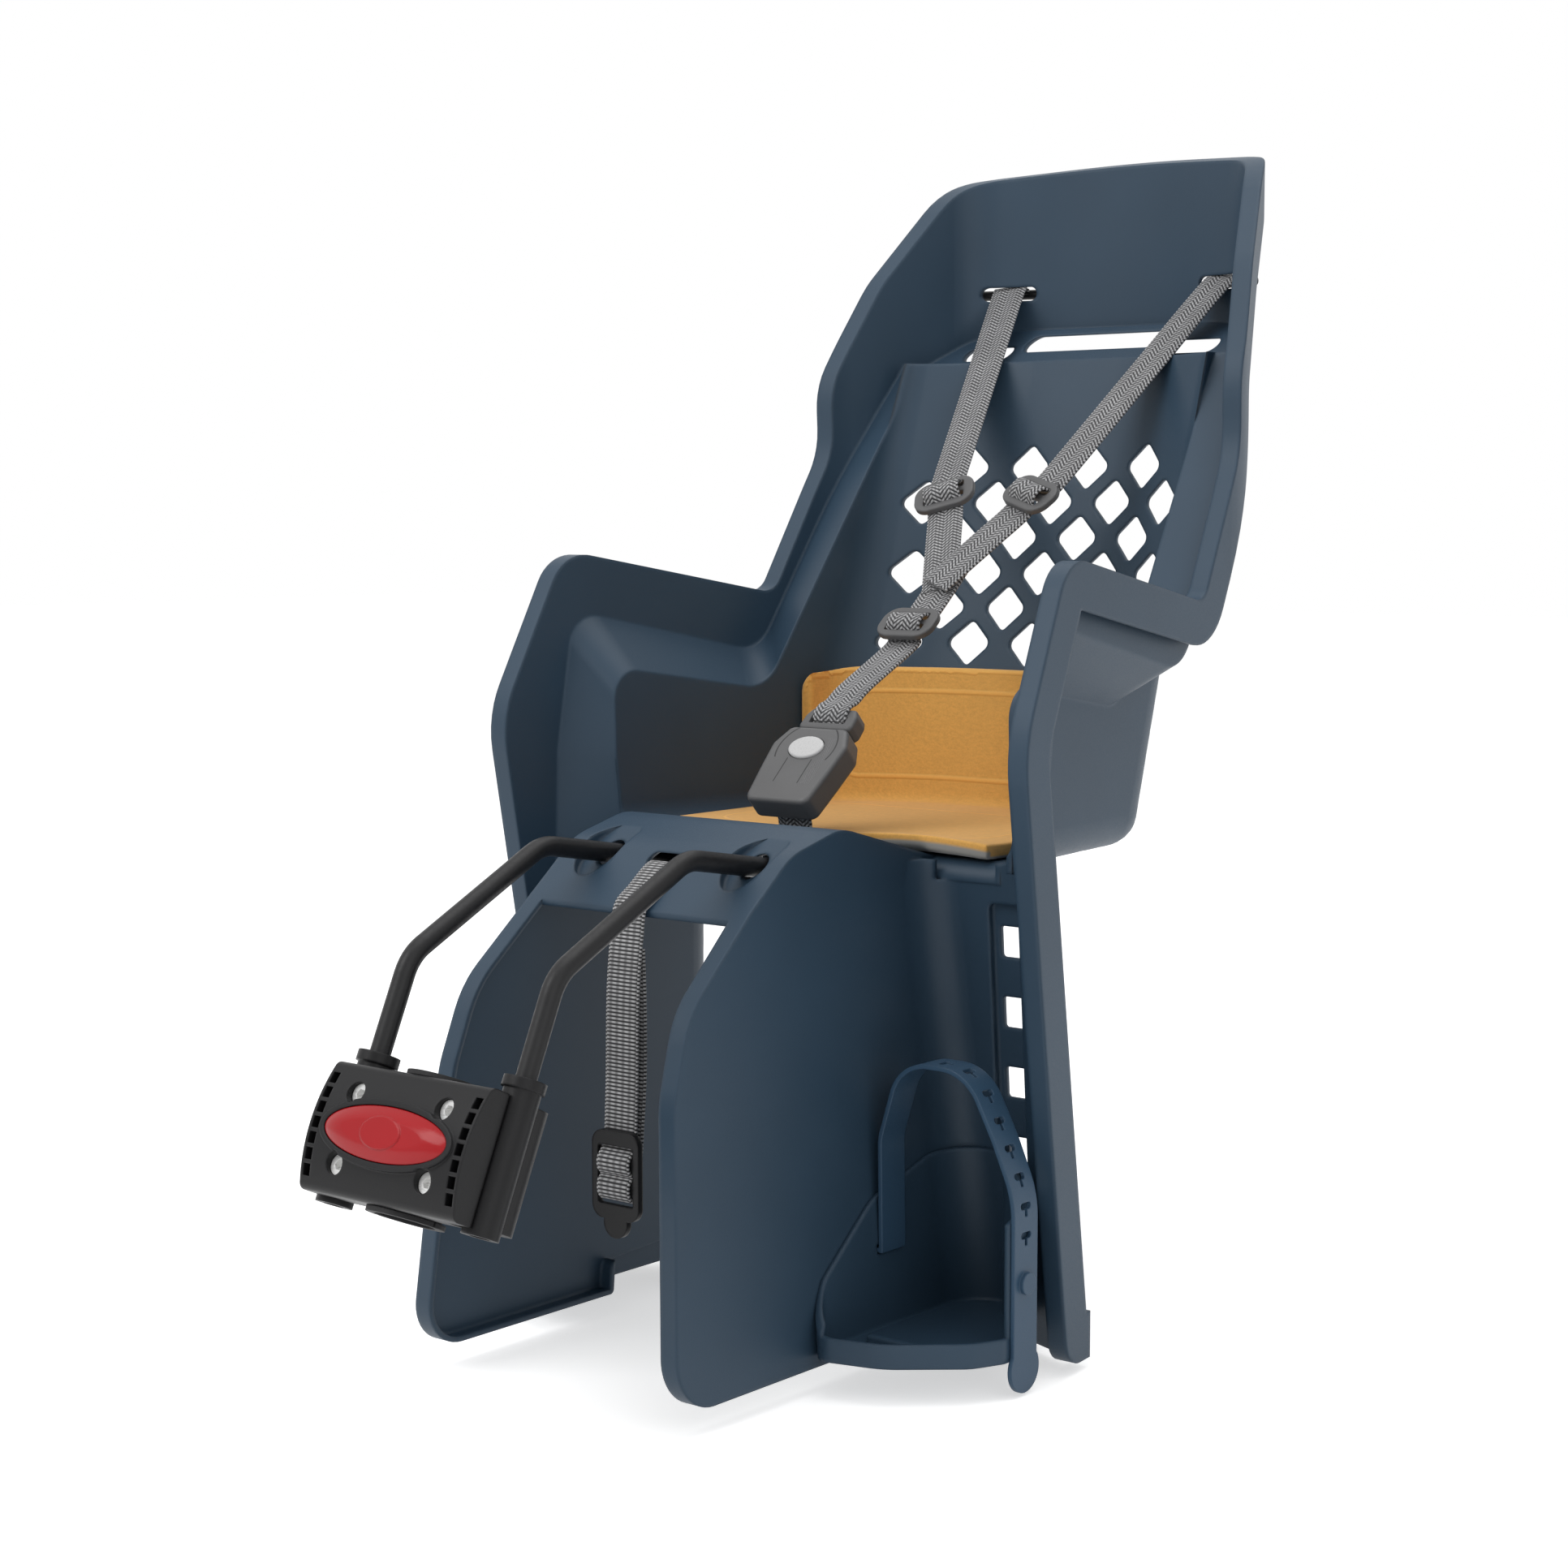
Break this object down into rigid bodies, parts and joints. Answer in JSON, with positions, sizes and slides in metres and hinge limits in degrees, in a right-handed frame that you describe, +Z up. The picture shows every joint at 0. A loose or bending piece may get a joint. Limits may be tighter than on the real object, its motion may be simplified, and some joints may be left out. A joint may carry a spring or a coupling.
{
  "type": "child bike seat",
  "caption": "Rear child seat for a bicycle: moulded shell with leg guards, footrests, harness and felt pad, on a bent steel bar with a seat-tube clamp.",
  "frame": {"origin": "middle of the clamp bore that grips the bike's seat tube", "axes": "+Z up, the bike's front towards -Y, the child's left towards +X"},
  "size_m": [0.4174, 0.7382, 0.7475],
  "materials": {
    "shell_plastic": "fine-grained satin",
    "strap_rubber": "satin",
    "pad_felt": "felt",
    "webbing": "herringbone weave",
    "frame_webbing": "plain weave",
    "buckle_plastic": "satin",
    "button_grey": "smooth",
    "black_plastic": "satin",
    "liner_rubber": "matte",
    "red_plastic": "gloss",
    "black_steel": "satin powder coat",
    "zinc_steel": "bright zinc",
    "spring_steel": "bright"
  },
  "bodies": {
    "mount": {"support_bar": "black_steel", "block_jaw": "black_plastic", "block_body": "black_plastic", "jaw_liner": "liner_rubber", "body_liner": "liner_rubber", "clamp_screws": "zinc_steel", "clamp_nuts": "zinc_steel", "release_spring": "spring_steel", "left_lock_spring": "spring_steel", "right_lock_spring": "spring_steel"},
    "release_button": {"release_button": "red_plastic"},
    "left_lock": {"left_bar_lock": "zinc_steel"},
    "right_lock": {"right_bar_lock": "zinc_steel"},
    "seat": {"seat_shell": "shell_plastic", "seat_pad": "pad_felt", "left_shoulder_strap": "webbing", "right_shoulder_strap": "webbing", "chest_webbing": "webbing", "crotch_strap": "webbing", "left_shoulder_adjuster": "buckle_plastic", "right_shoulder_adjuster": "buckle_plastic", "chest_adjuster": "buckle_plastic", "buckle_tongue": "buckle_plastic", "buckle_housing": "buckle_plastic", "buckle_spring": "spring_steel", "left_strap_retainer": "black_plastic", "right_strap_retainer": "black_plastic", "crotch_anchor": "zinc_steel", "bar_clamp_plate": "black_steel", "plate_screws": "zinc_steel", "frame_strap": "frame_webbing", "strap_lock": "black_plastic", "strap_anchor": "zinc_steel"},
    "left_footrest": {"left_footrest": "shell_plastic", "left_foot_strap": "strap_rubber"},
    "right_footrest": {"right_footrest": "shell_plastic", "right_foot_strap": "strap_rubber"},
    "buckle_button": {"buckle_button": "button_grey"}
  },
  "joints": [
    {"name": "release_press", "type": "slide", "parent": "mount", "child": "release_button", "axis": [0, 0.91, -0.4147], "range_m": [0, 0.0035], "stiffness_N_per_m": 1400, "deforming": ["release_spring"]},
    {"name": "left_lock_slide", "type": "slide", "parent": "mount", "child": "left_lock", "axis": [-1, 0, 0], "range_m": [0, 0.0035], "stiffness_N_per_m": 300, "deforming": ["left_lock_spring"]},
    {"name": "right_lock_slide", "type": "slide", "parent": "mount", "child": "right_lock", "axis": [1, 0, 0], "range_m": [0, 0.0035], "stiffness_N_per_m": 300, "deforming": ["right_lock_spring"]},
    {"name": "seat_slide", "type": "slide", "parent": "mount", "child": "seat", "axis": [0, -0.9866, 0.1633], "range_m": [0, 0.03]},
    {"name": "left_footrest_slide", "type": "slide", "parent": "seat", "child": "left_footrest", "axis": [0, -0.0797, 0.9968], "range_m": [0, 0.086]},
    {"name": "right_footrest_slide", "type": "slide", "parent": "seat", "child": "right_footrest", "axis": [0, -0.0797, 0.9968], "range_m": [0, 0.086]},
    {"name": "buckle_press", "type": "slide", "parent": "seat", "child": "buckle_button", "axis": [0, 0.682, -0.7314], "range_m": [0, 0.0025], "stiffness_N_per_m": 3000, "deforming": ["buckle_spring"]}
  ],
  "couplings": [
    {"joint": "left_lock_slide", "follows": "release_press", "ratio": 1},
    {"joint": "right_lock_slide", "follows": "release_press", "ratio": 1}
  ]
}
